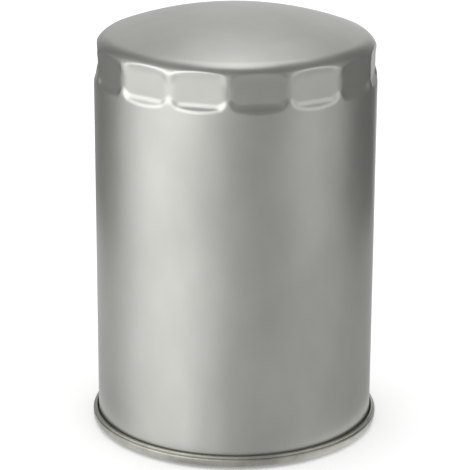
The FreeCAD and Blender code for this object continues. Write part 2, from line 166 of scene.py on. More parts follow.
def rounded(corners, steps=6):
    """The corners (radius, height, rounding), in millimetres, as points in metres with each
    corner turned into an arc."""
    points = []
    count = len(corners)
    for k, corner in enumerate(corners):
        here = Vector(corner[:2])
        rounding = corner[2] if len(corner) > 2 else 0.0
        before = Vector(corners[k - 1][:2]) - here
        after = Vector(corners[(k + 1) % count][:2]) - here
        if rounding <= 0.0:
            points.append(here * MM)
            continue
        half = before.angle(after) / 2.0
        reach = min(rounding / tan(half), before.length * 0.49, after.length * 0.49)
        radius = reach * tan(half)
        bisector = (before.normalized() + after.normalized()).normalized()
        centre = here + bisector * (radius / sin(half))
        first = here + before.normalized() * reach - centre
        last = here + after.normalized() * reach - centre
        sweep = first.angle_signed(last)
        for step in range(steps + 1):
            turn = -sweep * step / steps
            c, s = cos(turn), sin(turn)
            arm = Vector((first.x * c - first.y * s, first.x * s + first.y * c))
            points.append((centre + arm) * MM)
    return points


def even_angles(columns):
    return [2.0 * pi * column / columns for column in range(columns)]


def turned(name, section, angles, closed=True, shape=None):
    """A mesh turned about the filter's axis from section points (radius, height).
    A closed section makes a ring; an open one starts and ends on the axis.
    shape(index, radius, height, angle) may move each point."""
    mesh = bmesh.new()
    columns = len(angles)
    rings = []
    for index, (radius, height) in enumerate(section):
        if radius < 1e-9:
            rings.append([mesh.verts.new((0.0, 0.0, height))])
            continue
        ring = []
        for theta in angles:
            r, z = shape(index, radius, height, theta) if shape else (radius, height)
            ring.append(mesh.verts.new((r * cos(theta), r * sin(theta), z)))
        rings.append(ring)
    pairs = list(zip(rings, rings[1:]))
    if closed:
        pairs.append((rings[-1], rings[0]))
    for lower, upper in pairs:
        for column in range(columns):
            following = (column + 1) % columns
            if len(lower) == 1:
                corners = (lower[0], upper[following], upper[column])
            elif len(upper) == 1:
                corners = (lower[column], lower[following], upper[0])
            else:
                corners = (lower[column], lower[following], upper[following], upper[column])
            mesh.faces.new(corners)
    return finish_mesh(name, mesh)


def finish_mesh(name, mesh):
    """Closes off a bmesh as an object with smooth, outward faces."""
    bmesh.ops.recalc_face_normals(mesh, faces=mesh.faces)
    for face in mesh.faces:
        face.smooth = True
    data = bpy.data.meshes.new(name)
    mesh.to_mesh(data)
    mesh.free()
    piece = bpy.data.objects.new(name, data)
    bpy.context.scene.collection.objects.link(piece)
    return piece


def wire_along(name, line, radius, sides=14):
    """Round wire whose middle follows the points of a coil about the filter's axis."""
    mesh = bmesh.new()
    rings = []
    for k, point in enumerate(line):
        along = (line[min(k + 1, len(line) - 1)] - line[max(k - 1, 0)]).normalized()
        up = along.cross(Vector((point.x, point.y, 0.0))).normalized()
        out = up.cross(along)
        ring = []
        for side in range(sides):
            a = 2.0 * pi * side / sides
            ring.append(mesh.verts.new(point + (out * cos(a) + up * sin(a)) * radius))
        rings.append(ring)
    for first, second in zip(rings, rings[1:]):
        for side in range(sides):
            after = (side + 1) % sides
            mesh.faces.new((first[side], first[after], second[after], second[side]))
    mesh.faces.new(rings[0][::-1])
    mesh.faces.new(rings[-1])
    return finish_mesh(name, mesh)


def sharpen(piece, limit=35.0):
    """Keeps real edges crisp where faces meet at more than this many degrees."""
    piece.data.set_sharp_from_angle(angle=radians(limit))


def applied(piece):
    """Bakes a piece's modifiers into its mesh."""
    depsgraph = bpy.context.evaluated_depsgraph_get()
    baked = bpy.data.meshes.new_from_object(piece.evaluated_get(depsgraph))
    piece.modifiers.clear()
    piece.data = baked
    return piece


def place(piece, body, slot, material, *nodes):
    """Gives a piece its finish and fixes it to its body in place of the CAD nodes."""
    piece.data.materials.clear()
    piece.data.materials.append(material)
    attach(piece, body)
    if nodes:
        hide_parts(*nodes)
    return piece


def dress(node, material):
    """Gives a CAD node its finish."""
    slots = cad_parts[node].data.materials
    slots.clear()
    slots.append(material)


def smooth_min(a, b, width):
    """The lesser of two values, with a soft bend of that width where they cross."""
    overlap = max(width - abs(a - b), 0.0) / width
    return min(a, b) - overlap * overlap * width * 0.25


def smooth_ramp(x, width):
    """Zero below, x above, with a soft bend of that width between them."""
    return -smooth_min(-x, 0.0, width)


# ---------------------------------------------------------------- finishes


class Finish:
    """A principled material with helpers for its procedural nodes."""

    def __init__(self, name, base, metallic, roughness, specular=0.5):
        self.material = bpy.data.materials.new(name)
        self.material.use_nodes = True
        self.tree = self.material.node_tree
        self.shader = self.tree.nodes["Principled BSDF"]
        self.shader.inputs["Base Color"].default_value = (*base, 1.0)
        self.shader.inputs["Metallic"].default_value = metallic
        self.shader.inputs["Roughness"].default_value = roughness
        self.shader.inputs["Specular IOR Level"].default_value = specular
        self.base = tuple(base)
        self.bumps = []

    def node(self, kind, **values):
        made = self.tree.nodes.new(kind)
        for name, value in values.items():
            setattr(made, name, value)
        return made

    def link(self, source, target):
        self.tree.links.new(source, target)

    def place_in_piece(self, stretch=(1.0, 1.0, 1.0)):
        """The piece's own coordinates, scaled along each axis."""
        coordinates = self.node("ShaderNodeTexCoord")
        mapping = self.node("ShaderNodeMapping")
        mapping.inputs["Scale"].default_value = stretch
        self.link(coordinates.outputs["Object"], mapping.inputs["Vector"])
        return mapping.outputs["Vector"]

    def turning_lines(self, around, across):
        """Coordinates for marks that run round the axis: slow along them, fast across them."""
        coordinates = self.node("ShaderNodeTexCoord")
        parts = self.node("ShaderNodeSeparateXYZ")
        self.link(coordinates.outputs["Object"], parts.inputs["Vector"])
        flat = self.node("ShaderNodeCombineXYZ")
        self.link(parts.outputs["X"], flat.inputs["X"])
        self.link(parts.outputs["Y"], flat.inputs["Y"])
        reach = self.node("ShaderNodeVectorMath", operation="LENGTH")
        self.link(flat.outputs["Vector"], reach.inputs[0])
        rise = self.node("ShaderNodeMath", operation="ADD")
        self.link(reach.outputs["Value"], rise.inputs[0])
        self.link(parts.outputs["Z"], rise.inputs[1])
        lines = self.node("ShaderNodeCombineXYZ")
        for source, target, factor in (
            (parts.outputs["X"], "X", around),
            (parts.outputs["Y"], "Y", around),
            (rise.outputs["Value"], "Z", across),
        ):
            scaled = self.node("ShaderNodeMath", operation="MULTIPLY")
            self.link(source, scaled.inputs[0])
            scaled.inputs[1].default_value = factor
            self.link(scaled.outputs["Value"], lines.inputs[target])
        return lines.outputs["Vector"]

    def noise(self, vector, scale, detail=3.0, roughness=0.5):
        texture = self.node("ShaderNodeTexNoise")
        texture.inputs["Scale"].default_value = scale
        texture.inputs["Detail"].default_value = detail
        texture.inputs["Roughness"].default_value = roughness
        self.link(vector, texture.inputs["Vector"])
        return texture.outputs["Fac"]

    def spread(self, value, low, high, middle=0.5, half=0.25):
        """Maps a noise value about its middle to the range from low to high."""
        ranged = self.node("ShaderNodeMapRange")
        ranged.inputs["From Min"].default_value = middle - half
        ranged.inputs["From Max"].default_value = middle + half
        ranged.inputs["To Min"].default_value = low
        ranged.inputs["To Max"].default_value = high
        self.link(value, ranged.inputs["Value"])
        return ranged.outputs["Result"]

    def tint(self, value, dark, light):
        """Colours the base between two shares of itself."""
        mix = self.node("ShaderNodeMix", data_type="RGBA")
        mix.inputs[6].default_value = (*[channel * dark for channel in self.base], 1.0)
        mix.inputs[7].default_value = (*[channel * light for channel in self.base], 1.0)
        self.link(self.spread(value, 0.0, 1.0), mix.inputs[0])
        self.link(mix.outputs[2], self.shader.inputs["Base Color"])

    def roughen(self, value, low, high):
        self.link(self.spread(value, low, high), self.shader.inputs["Roughness"])

    def bump(self, value, depth):
        """Adds relief of that depth in metres, on top of any already there."""
        relief = self.node("ShaderNodeBump")
        relief.inputs["Strength"].default_value = 1.0
        relief.inputs["Distance"].default_value = depth
        self.link(value, relief.inputs["Height"])
        if self.bumps:
            self.link(self.bumps[-1].outputs["Normal"], relief.inputs["Normal"])
        self.bumps.append(relief)
        self.link(relief.outputs["Normal"], self.shader.inputs["Normal"])


def silver_paint(finishes):
    """Satin silver paint: metal flake under a thin clear film, sprayed a little unevenly."""
    rough = finishes.paint_roughness
    paint = Finish("silver_paint", finishes.paint, 0.9, rough)
    clouds = paint.noise(paint.place_in_piece((1.0, 1.0, 0.6)), 45.0, 3.0, 0.5)
    paint.tint(clouds, 0.9, 1.09)
    flake = paint.noise(paint.place_in_piece(), 4200.0, 1.0)
    paint.roughen(flake, rough - 0.03, rough + 0.03)
    peel = paint.noise(paint.place_in_piece(), 420.0, 2.0)
    paint.bump(peel, 0.000012)
    paint.shader.inputs["Coat Weight"].default_value = 0.12
    paint.shader.inputs["Coat Roughness"].default_value = 0.22
    return paint.material


def rolled_tinplate(name, finishes):
    """Bare tinned sheet with fine lines left by the seaming rolls."""
    tin = Finish(name, finishes.tinplate, 1.0, 0.42)
    lines = tin.noise(tin.turning_lines(35.0, 5200.0), 1.0, 3.0, 0.6)
    patches = tin.noise(tin.place_in_piece(), 160.0, 4.0, 0.6)
    tin.tint(patches, 0.76, 1.2)
    tin.roughen(lines, 0.32, 0.46)
    tin.bump(lines, 0.00001)
    return tin.material


def pressed_steel(name, base, rough=0.34):
    """Pressed or plated sheet: soft mottling and a little grain."""
    steel = Finish(name, base, 1.0, rough)
    mottle = steel.noise(steel.place_in_piece(), 240.0, 5.0, 0.6)
    steel.tint(mottle, 0.84, 1.12)
    grain = steel.noise(steel.place_in_piece(), 1500.0, 2.0)
    steel.roughen(grain, rough - 0.07, rough + 0.09)
    steel.bump(grain, 0.000008)
    return steel.material


def moulded_rubber(name, base, rough=0.5):
    rubber = Finish(name, base, 0.0, rough, 0.4)
    bloom = rubber.noise(rubber.place_in_piece(), 180.0, 4.0)
    rubber.tint(bloom, 0.75, 1.3)
    pores = rubber.noise(rubber.place_in_piece(), 2600.0, 3.0)
    rubber.roughen(pores, rough - 0.08, rough + 0.12)
    rubber.bump(pores, 0.00002)
    return rubber.material


def filter_paper(finishes):
    """Resin-cured paper: fibres, slightly darker where the resin gathers."""
    paper = Finish("filter_paper", finishes.paper, 0.0, 0.82, 0.25)
    fibres = paper.noise(paper.place_in_piece((1.0, 1.0, 0.2)), 2200.0, 4.0, 0.65)
    paper.tint(fibres, 0.82, 1.12)
    paper.bump(fibres, 0.00004)
    return paper.material


def cured_adhesive(finishes):
    glue = Finish("cured_adhesive", finishes.adhesive, 0.0, 0.42, 0.5)
    ripple = glue.noise(glue.place_in_piece(), 190.0, 3.0)
    glue.tint(ripple, 0.8, 1.2)
    glue.bump(ripple, 0.0001)
    return glue.material


def drawn_wire(finishes):
    wire = Finish("drawn_wire", finishes.spring, 1.0, 0.36)
    drawing = wire.noise(wire.place_in_piece((1.0, 1.0, 6.0)), 700.0, 3.0)
    wire.tint(drawing, 0.8, 1.2)
    wire.roughen(drawing, 0.28, 0.45)
    return wire.material


# ---------------------------------------------------------------- shell


# A flat's lower corners lift less than its upper ones, and its head bends more softly.
FOOT_LIFT = 0.7
HEAD_SOFTNESS = 2.8


def from_flat_middle(theta, sizes):
    """The angle from the middle of the nearest flat, always positive."""
    step = 2.0 * pi / sizes.flat_count
    return abs((theta + step / 2.0) % step - step / 2.0)


def flat_ring_radius(from_flat, sizes, inset):
    """Distance from the axis to the ring of flats, with its ridges rounded."""
    apothem = sizes.flat_apothem - inset
    half = pi / sizes.flat_count
    rounding = max(sizes.ridge_round - inset, MM)
    centre = (apothem - rounding) / cos(half)
    from_ridge = half - from_flat
    limit = atan2(rounding * sin(half), centre + rounding * cos(half))
    if from_ridge < limit:
        return centre * cos(from_ridge) + sqrt(rounding**2 - (centre * sin(from_ridge)) ** 2)
    return apothem / cos(from_flat)


def pressed_radius(radius, height, theta, sizes, inset):
    """The shell's radius after the flats are pressed in. Each flat has rounded corners, a
    ledge that leans out below it and a softer lean into the shoulder above it."""
    from_flat = from_flat_middle(theta, sizes)
    half_width = sizes.flat_apothem * tan(pi / sizes.flat_count)
    across = sizes.flat_apothem * tan(from_flat)
    corner = sizes.flat_corner
    into_corner = min(max((across - half_width) / corner + 1.0, 0.0), 1.0)
    lift = corner * 0.4 * (1.0 - cos(pi * into_corner))
    soft = sizes.press_round
    below = smooth_ramp(sizes.flat_low + FOOT_LIFT * lift - height, soft)
    above = smooth_ramp(height - sizes.flat_high + lift, HEAD_SOFTNESS * soft)
    pressed = flat_ring_radius(from_flat, sizes, inset) + sizes.ledge_slope * (below + above)
    return smooth_min(radius, pressed, soft * (0.5 + into_corner))


def flat_angles(sizes, per_flat):
    """Angles round the shell, closer together at the ridges between the flats."""
    step = 2.0 * pi / sizes.flat_count
    angles = []
    for flat in range(sizes.flat_count):
        for k in range(per_flat):
            t = 2.0 * k / per_flat - 1.0
            angles.append(step * (flat + 0.5 * (1.3 * t - 0.3 * t**3)))
    return angles


def dome_section(sizes, inset, top, crown_steps, shoulder_steps):
    """Points from the axis over the crown and round the shoulder."""
    radius = sizes.can_radius - inset
    crown = sizes.crown_radius - inset
    shoulder = sizes.shoulder_radius - inset
    crown_low = top - crown
    reach = radius - shoulder
    shoulder_height = crown_low + sqrt((crown - shoulder) ** 2 - reach**2)
    turn = atan2(reach, shoulder_height - crown_low)
    points = []
    for k in range(crown_steps + 1):
        a = turn * k / crown_steps
        points.append((crown * sin(a), crown_low + crown * cos(a)))
    for k in range(1, shoulder_steps + 1):
        a = turn + (pi / 2.0 - turn) * k / shoulder_steps
        points.append((reach + shoulder * sin(a), shoulder_height + shoulder * cos(a)))
    return points


def straight_rows(radius, high, low, rows):
    """Points down a straight side, without its first."""
    return [(radius, high + (low - high) * k / rows) for k in range(1, rows + 1)]


class OILFILTER_OT_canister(bpy.types.Operator):
    """Builds the drawn steel shell with its dome, wrench flats and bottom flange"""

    bl_idname = "oilfilter.canister"
    bl_label = "Canister"

    def execute(self, context):
        sizes = context.scene.filter_shell
        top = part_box("canister")[1].z
        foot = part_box("canister")[0].z
        wall = sizes.can_wall

        outer = dome_section(sizes, 0.0, top, 22, 36)
        straight_top = outer[-1][1]
        pressed_low = sizes.flat_low - 4.5 * MM
        outer += straight_rows(sizes.can_radius, straight_top, pressed_low, 54)
        outer += straight_rows(sizes.can_radius, pressed_low, foot + 2.2 * MM, 14)
        hook = self.hook_section(sizes, foot)
        inner = dome_section(sizes, wall, top - wall, 12, 10)
        inner_top = inner[-1][1]
        inner += straight_rows(sizes.can_radius - wall, inner_top, pressed_low, 24)
        inner.append((sizes.can_radius - wall, foot + wall))
        section = outer + hook + inner[::-1]
        inner_start = len(outer) + len(hook)

        def fluted(index, radius, height, theta):
            inset = wall if index >= inner_start else 0.0
            if height < pressed_low or radius < sizes.flat_apothem - 4.0 * MM:
                return radius, height
            return pressed_radius(radius, height, theta, sizes, inset), height

        shell = turned("shell", section, flat_angles(sizes, 28), closed=False, shape=fluted)
        paint = silver_paint(context.scene.filter_finishes)
        place(shell, HOUSING, "shell_paint", paint, "canister")
        return {"FINISHED"}

    def hook_section(self, sizes, foot):
        """The flange turned out under the wall and up inside the seam."""
        wall_out = sizes.can_radius / MM
        wall_in = wall_out - sizes.can_wall / MM
        hook_out = wall_out + 1.3
        low = foot / MM
        sheet = sizes.can_wall / MM
        corners = [
            (wall_out, low + 2.1, 0.0),
            (wall_out, low + sheet, 0.1),
            (hook_out - sheet, low + sheet, 0.1),
            (hook_out - sheet, low + 1.8, 0.1),
            (hook_out, low + 1.8, 0.1),
            (hook_out, low, 0.4),
            (wall_in, low, 0.4),
            (wall_in, low + 0.55, 0.0),
        ]
        return rounded(corners, 3)


# ---------------------------------------------------------------- lid, gasket and base plate


class OILFILTER_OT_lid(bpy.types.Operator):
    """Builds the seaming lid: the rolled rim, its bead, and the panel with the gasket's groove"""

    bl_idname = "oilfilter.lid"
    bl_label = "Seaming lid"

    def execute(self, context):
        base = context.scene.filter_base
        rim = base.rim_radius / MM
        low = base.rim_low / MM
        high = base.rim_top / MM
        bead_out = rim - 0.5
        bead_in = rim - 1.45
        corners = [
            (46.62, 2.5, 0.1),
            (46.62, 3.3, 0.2),
            (bead_in, high - 0.6, 0.2),
            (bead_in, high, 0.42),
            (bead_out, high, 0.45),
            (bead_out, high - 0.72, 0.08),
            (bead_out - 0.1, high - 0.84, 0.05),
            (rim - 0.16, high - 0.92, 0.15),
            (rim, high - 1.3, 0.6),
            (rim, low, 1.4),
            (45.3, low, 0.8),
            (45.3, 5.2, 0.6),
            (38.1, 5.2, 0.6),
            (38.1, 2.6, 0.7),
            (35.6, 2.6, 0.5),
            (35.6, 5.2, 0.1),
            (30.9, 5.2, 0.1),
            (30.9, 2.6, 0.5),
            (28.4, 2.6, 0.7),
            (28.4, 5.2, 0.6),
            (25.5, 5.2, 0.12),
            (25.5, 5.7, 0.12),
            (28.9, 5.7, 0.2),
            (28.9, 3.1, 0.2),
            (30.4, 3.1, 0.2),
            (30.4, 5.7, 0.2),
            (36.1, 5.7, 0.2),
            (36.1, 3.1, 0.2),
            (37.6, 3.1, 0.2),
            (37.6, 5.7, 0.2),
            (45.8, 5.7, 0.4),
            (45.8, low + 0.5, 0.3),
            (rim - 0.5, low + 0.5, 0.45),
            (rim - 0.5, high - 1.2, 0.2),
            (rim - 0.9, high - 0.45, 0.1),
            (rim - 1.2, high - 0.45, 0.1),
            (47.1, high - 1.1, 0.1),
            (47.1, 2.5, 0.1),
        ]
        lid = turned("rolled_lid", rounded(corners), even_angles(256))
        tin = rolled_tinplate("rolled_tinplate", context.scene.filter_finishes)
        place(lid, HOUSING, "tinplate", tin, "seaming_lid")
        self.weld_marks(base, tin)
        return {"FINISHED"}

    def weld_marks(self, base, tin):
        """Shallow projection-weld marks between the inlets, on the lid's inner flange."""
        mesh = bmesh.new()
        panel_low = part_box("tapping_plate")[0].z - 0.5 * MM
        circle = 27.0 * MM
        mark = 1.15 * MM
        proud = 0.22 * MM
        for k in range(base.inlet_count):
            theta = 2.0 * pi * (k + 0.5) / base.inlet_count
            spot = Matrix.Translation((circle * cos(theta), circle * sin(theta), panel_low))
            flatten = Matrix.Diagonal((mark, mark, proud, 1.0))
            bmesh.ops.create_icosphere(mesh, subdivisions=3, radius=1.0, matrix=spot @ flatten)
        marks = finish_mesh("weld_marks", mesh)
        place(marks, HOUSING, "tinplate", tin)


class OILFILTER_OT_gasket(bpy.types.Operator):
    """Builds the moulded sealing gasket"""

    bl_idname = "oilfilter.gasket"
    bl_label = "Sealing gasket"

    def execute(self, context):
        low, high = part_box("sealing_gasket")
        outer = high.x / MM
        inner = outer - 4.5
        top = high.z / MM
        corners = [
            (inner, 0.0, 0.55),
            ((inner + outer) / 2.0, low.z / MM, 0.0),
            (outer, 0.0, 0.55),
            (outer, 2.2, 0.0),
            (outer + 0.06, 2.35, 0.0),
            (outer, 2.5, 0.0),
            (outer, top, 0.3),
            (inner, top, 0.3),
            (inner, 2.5, 0.0),
            (inner - 0.06, 2.35, 0.0),
            (inner, 2.2, 0.0),
        ]
        gasket = turned("gasket_ring", rounded(corners, 5), even_angles(192))
        rubber = moulded_rubber("black_rubber", context.scene.filter_finishes.black_rubber)
        place(gasket, HOUSING, "gasket_rubber", rubber, "sealing_gasket")
        return {"FINISHED"}


class OILFILTER_OT_base_plate(bpy.types.Operator):
    """Builds the tapping plate with its threaded neck and oil inlets"""

    bl_idname = "oilfilter.base_plate"
    bl_label = "Base plate"

    def execute(self, context):
        base = context.scene.filter_base
        low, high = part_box("tapping_plate")
        bottom = low.z / MM
        neck_top = high.z / MM
        rim = high.x / MM
        plate_top = bottom + 3.2
        minor = base.thread_minor / MM
        major = base.thread_major / MM
        outside = rounded(
            [
                (major + 0.3, bottom, 0.0),
                (rim, bottom, 0.4),
                (rim, plate_top, 0.4),
                (13.0, plate_top, 1.5),
                (13.0, neck_top, 0.5),
                (minor + 0.3, neck_top, 0.0),
            ]
        )
        thread_rows = 100
        thread_low = bottom + 0.9
        bore = []
        for k in range(thread_rows + 1):
            height = neck_top + (thread_low - neck_top) * k / thread_rows
            bore.append(Vector((minor, height)) * MM)
        bore_start = len(outside)
        section = outside + bore
        pitch = base.thread_pitch

        def threaded(index, radius, height, theta):
            if index < bore_start:
                return radius, height
            turn = (height / pitch - theta / (2.0 * pi)) % 1.0
            crest = abs(turn - 0.5) * 2.0
            depth = min(max((crest - 0.12) / 0.7, 0.0), 1.0)
            below_mouth = (neck_top * MM - height) / MM + 0.15
            above_start = (height - thread_low * MM) / MM + 0.3
            fade = min(below_mouth, above_start, 1.0)
            return radius + (base.thread_major - base.thread_minor) * depth * max(fade, 0.0), height

        plate = turned("threaded_plate", section, even_angles(144), shape=threaded)
        self.bore_inlets(plate, base, bottom * MM, plate_top * MM)
        sharpen(plate, 40.0)
        zinc = pressed_steel("zinc_plate", context.scene.filter_finishes.zinc, 0.32)
        place(plate, HOUSING, "plate_steel", zinc, "tapping_plate")
        return {"FINISHED"}

    def bore_inlets(self, plate, base, bottom, top):
        """Punches the inlet holes, each with a small lead-in at its mouth."""
        mesh = bmesh.new()
        sides = 40
        for theta in even_angles(base.inlet_count):
            centre = Vector((base.inlet_circle * cos(theta), base.inlet_circle * sin(theta), 0.0))
            lead = 0.35 * MM
            levels = [
                (bottom - MM, lead + MM),
                (bottom + lead, 0.0),
                (top - 0.2 * MM, 0.0),
                (top + MM, 1.2 * MM),
            ]
            rings = []
            for height, wider in levels:
                radius = base.inlet_radius + wider
                ring = []
                for a in even_angles(sides):
                    corner = centre + Vector((radius * cos(a), radius * sin(a), height))
                    ring.append(mesh.verts.new(corner))
                rings.append(ring)
            for lower, upper in zip(rings, rings[1:]):
                for side in range(sides):
                    after = (side + 1) % sides
                    mesh.faces.new((lower[side], lower[after], upper[after], upper[side]))
            mesh.faces.new(rings[0][::-1])
            mesh.faces.new(rings[-1])
        punch = finish_mesh("punch", mesh)
        cut = plate.modifiers.new("inlets", "BOOLEAN")
        cut.operation = "DIFFERENCE"
        cut.solver = "EXACT"
        cut.object = punch
        applied(plate)
        bpy.data.objects.remove(punch)


class OILFILTER_OT_drainback_valve(bpy.types.Operator):
    """Builds the rubber anti-drain-back valve"""

    bl_idname = "oilfilter.drainback_valve"
    bl_label = "Anti-drain-back valve"

    def execute(self, context):
        low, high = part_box("anti_drainback_valve")
        seat = low.z / MM
        lip = high.x / MM
        crown = high.z / MM
        corners = [
            (13.1, 11.4, 0.3),
            (15.1, 11.4, 0.8),
            (19.0, 10.85, 2.0),
            (lip - 1.6, seat + 0.25, 0.6),
            (lip - 0.8, seat, 0.1),
            (lip, seat + 0.02, 0.2),
            (lip, seat + 1.1, 0.5),
            (lip - 2.0, seat + 1.55, 0.8),
            (19.5, 11.95, 2.0),
            (15.1, 12.6, 1.0),
            (15.1, crown, 0.5),
            (13.1, crown, 0.3),
        ]
        skirt = turned("rubber_skirt", rounded(corners, 6), even_angles(160))
        rubber = moulded_rubber("red_rubber", context.scene.filter_finishes.red_rubber, 0.45)
        place(skirt, SKIRT, "valve_rubber", rubber, "anti_drainback_valve")
        return {"FINISHED"}


# ---------------------------------------------------------------- inside


class OILFILTER_OT_element(bpy.types.Operator):
    """Finishes the filter element, its caps, tube, paper and adhesive"""

    bl_idname = "oilfilter.element"
    bl_label = "Filter element"

    def execute(self, context):
        finishes = context.scene.filter_finishes
        tin = rolled_tinplate("cap_tinplate", finishes)
        tube = pressed_steel("tube_steel", finishes.zinc, 0.38)
        glue = cured_adhesive(finishes)
        dress("lower_end_cap", tin)
        dress("upper_end_cap", tin)
        dress("media_seam_clip", tin)
        dress("centre_tube", tube)
        dress("pleated_media", filter_paper(finishes))
        dress("lower_adhesive", glue)
        dress("upper_adhesive", glue)
        dress("element_grommet", moulded_rubber("grommet_rubber", finishes.red_rubber, 0.5))
        dress("seam_compound", moulded_rubber("seam_compound", finishes.black_rubber, 0.7))
        return {"FINISHED"}


class OILFILTER_OT_bypass(bpy.types.Operator):
    """Builds the bypass spring and finishes the bypass valve and the element's spring"""

    bl_idname = "oilfilter.bypass"
    bl_label = "Bypass valve and springs"

    def execute(self, context):
        finishes = context.scene.filter_finishes
        pressed = pressed_steel("valve_steel", finishes.zinc, 0.3)
        wire = drawn_wire(finishes)
        for node in ("bypass_seat", "bypass_poppet", "bypass_cage"):
            dress(node, pressed)
        dress("bypass_stem", pressed_steel("stem_steel", finishes.zinc, 0.22))
        dress("bypass_seal", moulded_rubber("seal_rubber", finishes.black_rubber, 0.5))
        dress("element_spring", wire)
        self.spring(context.scene.filter_valve, wire)
        return {"FINISHED"}

    def spring(self, sizes, wire):
        """A compression spring with closed end turns."""
        low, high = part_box("bypass_spring")
        wire_radius = sizes.wire_radius
        coil_radius = high.x - wire_radius
        foot = low.z + wire_radius
        length_free = high.z - low.z
        closed_pitch = 2.1 * wire_radius
        open_count = sizes.spring_turns - 2.0
        open_pitch = (length_free - 2.0 * wire_radius - 2.0 * closed_pitch) / open_count
        steps = 60
        line = []
        for k in range(sizes.spring_turns * steps + 1):
            turn = k / steps
            open_turns = min(max(turn - 1.0, 0.0), open_count)
            height = foot + closed_pitch * (turn - open_turns) + open_pitch * open_turns
            theta = 2.0 * pi * turn
            line.append(Vector((coil_radius * cos(theta), coil_radius * sin(theta), height)))
        spring = wire_along("valve_spring", line, wire_radius)
        sharpen(spring)
        place(spring, HOUSING, "spring_steel", wire, "bypass_spring")
        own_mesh(spring)


# ---------------------------------------------------------------- stage


def aim(thing, target, roll=0.0):
    """Turns a lamp or camera so that it looks at the target."""
    look = (Vector(target) - thing.location).to_track_quat("-Z", "Y").to_matrix().to_4x4()
    thing.matrix_world = Matrix.Translation(thing.location) @ look @ Matrix.Rotation(roll, 4, "Z")


# The light tent: a floor ring and a round wall. FOOT and FLOOR light the ring, the others the
# wall from its foot up. Each pair is degrees from the camera, positive to its right, and level.
TENT_RADIUS = 0.3
TENT_HEIGHT = 1.15
TENT_HOLE = 0.047
TENT_FLOOR = 0.0005
FOOT_RADIUS = 0.0545
FOOT_GLOW = ((-180, 0.7), (-75, 1.0), (-20, 0.65), (0, 0.56), (20, 0.65), (75, 1.2), (180, 0.7))
FLOOR_GLOW = (
    (-180, 0.7), (-150, 0.66), (-128, 0.58), (-112, 0.6), (-94, 0.8), (-76, 1.22), (-60, 1.46),
    (-42, 1.52), (-20, 0.98), (0, 0.58), (20, 0.52), (55, 0.59), (80, 0.52), (115, 0.44),
    (140, 0.46), (160, 0.8), (180, 0.7),
)
LOW_GLOW = (
    (-180, 0.68), (-160, 0.35), (-128, 0.14), (-108, 0.28), (-90, 0.85), (-72, 1.4), (-56, 1.65),
    (-42, 1.52), (-20, 1.0), (0, 0.55), (20, 0.45), (60, 0.78), (80, 0.6), (104, 0.15),
    (142, 0.1), (160, 1.3), (180, 0.68),
)
MIDDLE_GLOW = (
    (-180, 0.72), (-158, 0.62), (-130, 0.16), (-105, 0.2), (-90, 1.5), (-70, 2.7), (-35, 2.7),
    (-15, 1.0), (5, 0.24), (38, 0.3), (54, 1.2), (74, 1.2), (93, 0.18), (132, 0.16),
    (155, 0.7), (180, 0.72),
)
HIGH_GLOW = (
    (-180, 0.74), (-152, 0.66), (-128, 0.22), (-95, 0.2), (0, 0.2), (95, 0.18), (130, 0.2),
    (152, 0.66), (180, 0.74),
)
TOP_GLOW = (
    (-180, 1.75), (-140, 1.5), (-100, 0.5), (-60, 0.2), (0, 0.16), (60, 0.16), (100, 0.45),
    (140, 1.5), (180, 1.75),
)


def blend(low, high, part):
    """Eases from low to high as part goes from 0 to 1."""
    part = min(max(part, 0.0), 1.0)
    return low + (high - low) * part * part * (3.0 - 2.0 * part)


def level_at(around, levels):
    """The level at an angle, eased between the listed ones."""
    for (before, low), (after, high) in zip(levels, levels[1:]):
        if before <= around <= after:
            return blend(low, high, (around - before) / (after - before))
    raise ValueError(around)


